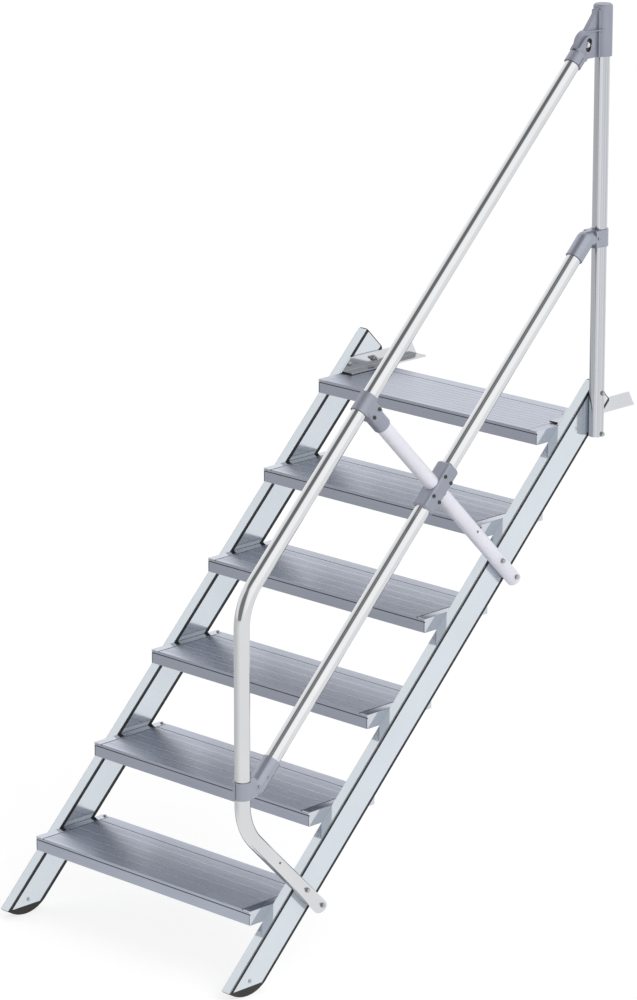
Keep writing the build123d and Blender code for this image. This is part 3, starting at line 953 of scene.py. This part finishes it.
# Studio
floor_finish, floor_tree, floor_shader = finish_nodes("studio_floor")
floor_shader.inputs["Base Color"].default_value = (0.85, 0.85, 0.85, 1)
floor_shader.inputs["Roughness"].default_value = 0.9
floor_shader.inputs["Specular IOR Level"].default_value = 0.0
floor_glow = floor_tree.nodes.new("ShaderNodeEmission")
floor_glow.inputs["Strength"].default_value = 1.25
floor_share = floor_tree.nodes.new("ShaderNodeMath")
floor_share.operation = "MULTIPLY"
floor_share.inputs[1].default_value = 0.6
floor_path = floor_tree.nodes.new("ShaderNodeLightPath")
floor_seen = floor_tree.nodes.new("ShaderNodeMixShader")
floor_tree.links.new(floor_path.outputs["Is Camera Ray"], floor_share.inputs[0])
floor_tree.links.new(floor_share.outputs["Value"], floor_seen.inputs["Fac"])
floor_tree.links.new(floor_shader.outputs["BSDF"], floor_seen.inputs[1])
floor_tree.links.new(floor_glow.outputs["Emission"], floor_seen.inputs[2])
floor_coords = floor_tree.nodes.new("ShaderNodeTexCoord")
floor_way = floor_tree.nodes.new("ShaderNodeVectorMath")
floor_way.operation = "DOT_PRODUCT"
floor_way.inputs[1].default_value = (-0.945, -0.325, 0)
floor_turn = floor_tree.nodes.new("ShaderNodeVectorMath")
floor_turn.operation = "NORMALIZE"
floor_tree.links.new(floor_coords.outputs["Object"], floor_turn.inputs[0])
floor_tree.links.new(floor_turn.outputs["Vector"], floor_way.inputs[0])
floor_tone = floor_tree.nodes.new("ShaderNodeMapRange")
floor_tone.interpolation_type = "SMOOTHSTEP"
floor_tone.inputs["From Min"].default_value = -0.3
floor_tone.inputs["From Max"].default_value = 1.0
floor_tone.inputs["To Min"].default_value = 0.82
floor_tone.inputs["To Max"].default_value = 0.55
floor_tree.links.new(floor_way.outputs["Value"], floor_tone.inputs["Value"])
floor_reach = floor_tree.nodes.new("ShaderNodeVectorMath")
floor_reach.operation = "LENGTH"
floor_tree.links.new(floor_coords.outputs["Object"], floor_reach.inputs[0])
floor_near = floor_tree.nodes.new("ShaderNodeMapRange")
floor_near.interpolation_type = "SMOOTHSTEP"
floor_near.inputs["From Min"].default_value = 0.4
floor_near.inputs["From Max"].default_value = 1.6
floor_near.inputs["To Min"].default_value = 0.82
floor_tree.links.new(floor_reach.outputs["Value"], floor_near.inputs["Value"])
floor_tree.links.new(floor_tone.outputs["Result"], floor_near.inputs["To Max"])
floor_mirrored = floor_tree.nodes.new("ShaderNodeEmission")
floor_again = floor_tree.nodes.new("ShaderNodeMapRange")
floor_again.inputs["From Min"].default_value = 1.0
floor_again.inputs["From Max"].default_value = 2.0
floor_again.inputs["To Max"].default_value = 0.45
floor_tree.links.new(floor_near.outputs["Result"], floor_again.inputs["To Min"])
floor_tree.links.new(floor_path.outputs["Glossy Depth"], floor_again.inputs["Value"])
floor_tree.links.new(floor_again.outputs["Result"], floor_mirrored.inputs["Strength"])
floor_mix = floor_tree.nodes.new("ShaderNodeMixShader")
floor_tree.links.new(floor_path.outputs["Is Glossy Ray"], floor_mix.inputs["Fac"])
floor_tree.links.new(floor_seen.outputs["Shader"], floor_mix.inputs[1])
floor_tree.links.new(floor_mirrored.outputs["Emission"], floor_mix.inputs[2])
floor_out = floor_tree.nodes["Material Output"]
floor_tree.links.new(floor_mix.outputs["Shader"], floor_out.inputs["Surface"])
bpy.ops.mesh.primitive_circle_add(vertices=96, radius=40, fill_type="NGON",
                                  location=(-0.4, -1.0, floor_z - 0.5 * MM))
floor = bpy.context.object
floor.name = "studio_floor"
floor.data.materials.append(floor_finish)

world = bpy.data.worlds.new("studio")
bpy.context.scene.world = world
world.use_nodes = True
sky = world.node_tree
sky.nodes.clear()
sky_out = sky.nodes.new("ShaderNodeOutputWorld")
seen_sky = sky.nodes.new("ShaderNodeBackground")
seen_sky.inputs["Color"].default_value = (1, 1, 1, 1)
seen_sky.inputs["Strength"].default_value = 1.0
room = sky.nodes.new("ShaderNodeBackground")
coords = sky.nodes.new("ShaderNodeTexCoord")


def sky_patch(way, start, end, near_tone, far_tone):
    """Tone that changes from far to near round one direction of the room."""
    dot = sky.nodes.new("ShaderNodeVectorMath")
    dot.operation = "DOT_PRODUCT"
    dot.inputs[1].default_value = Vector(way).normalized()
    sky.links.new(coords.outputs["Generated"], dot.inputs[0])
    tone = sky.nodes.new("ShaderNodeMapRange")
    tone.interpolation_type = "SMOOTHSTEP"
    tone.inputs["From Min"].default_value = start
    tone.inputs["From Max"].default_value = end
    tone.inputs["To Min"].default_value = far_tone
    tone.inputs["To Max"].default_value = near_tone
    sky.links.new(dot.outputs["Value"], tone.inputs["Value"])
    return tone.outputs["Result"]


def together(first, second, operation="MULTIPLY"):
    """One tone of the room from two."""
    joined = sky.nodes.new("ShaderNodeMath")
    joined.operation = operation
    sky.links.new(first, joined.inputs[0])
    sky.links.new(second, joined.inputs[1])
    return joined.outputs["Value"]


sky_path = sky.nodes.new("ShaderNodeLightPath")
again = sky.nodes.new("ShaderNodeMapRange")
again.inputs["From Min"].default_value = 1.0
again.inputs["From Max"].default_value = 2.0
again.inputs["To Min"].default_value = 1.0
again.inputs["To Max"].default_value = 0.53
sky.links.new(sky_path.outputs["Glossy Depth"], again.inputs["Value"])
# Dark gaps and bright sides of the studio that the metal mirrors
ceiling_gap = sky_patch((-0.06, -0.43, 0.90), 0.83, 0.96, 0.2, 1.0)
bright_side = sky_patch((0.85, 0.0, 0.52), 0.62, 0.96, 1.25, 1.0)
bright_back = sky_patch((-0.67, 0.69, 0.27), 0.55, 0.95, 1.25, 1.0)
front_gap = sky_patch((0.04, -0.95, 0.32), 0.79, 0.90, 0.25, 1.0)
mirrored_gap = together(front_gap, sky_path.outputs["Is Diffuse Ray"], "MAXIMUM")
dark_gaps = together(ceiling_gap, mirrored_gap, "MINIMUM")
room_tone = together(together(dark_gaps, bright_side), bright_back)
sky.links.new(together(room_tone, again.outputs["Result"]), room.inputs["Strength"])
sky_mix = sky.nodes.new("ShaderNodeMixShader")
sky.links.new(sky_path.outputs["Is Camera Ray"], sky_mix.inputs["Fac"])
sky.links.new(room.outputs["Background"], sky_mix.inputs[1])
sky.links.new(seen_sky.outputs["Background"], sky_mix.inputs[2])
sky.links.new(sky_mix.outputs["Shader"], sky_out.inputs["Surface"])


def lamp(name, place, target, size, power):
    light = bpy.data.lights.new(name, "AREA")
    light.shape = "DISK"
    light.size = size
    light.energy = power
    holder = bpy.data.objects.new(name, light)
    bpy.context.collection.objects.link(holder)
    holder.location = place
    holder.rotation_euler = (Vector(target) - Vector(place)).to_track_quat("-Z", "Y").to_euler()
    holder.visible_glossy = False


middle = (cad_low + cad_high) / 2
lamp("soft_key", middle + Vector((4.2, -0.3, 2.6)), middle, 3.2, 60)

# Camera at the photo's place
camera_data = bpy.data.cameras.new("camera")
camera = bpy.data.objects.new("camera", camera_data)
bpy.context.collection.objects.link(camera)
camera.location = (7.66865, -8.96401, 3.06002)
camera.rotation_euler = (math.radians(90 - 15.725), 0, math.radians(44.335))
camera_data.sensor_width = 36
camera_data.lens = 164.113
camera_data.clip_end = 200
bpy.context.scene.camera = camera
bpy.context.scene.view_settings.view_transform = "Standard"
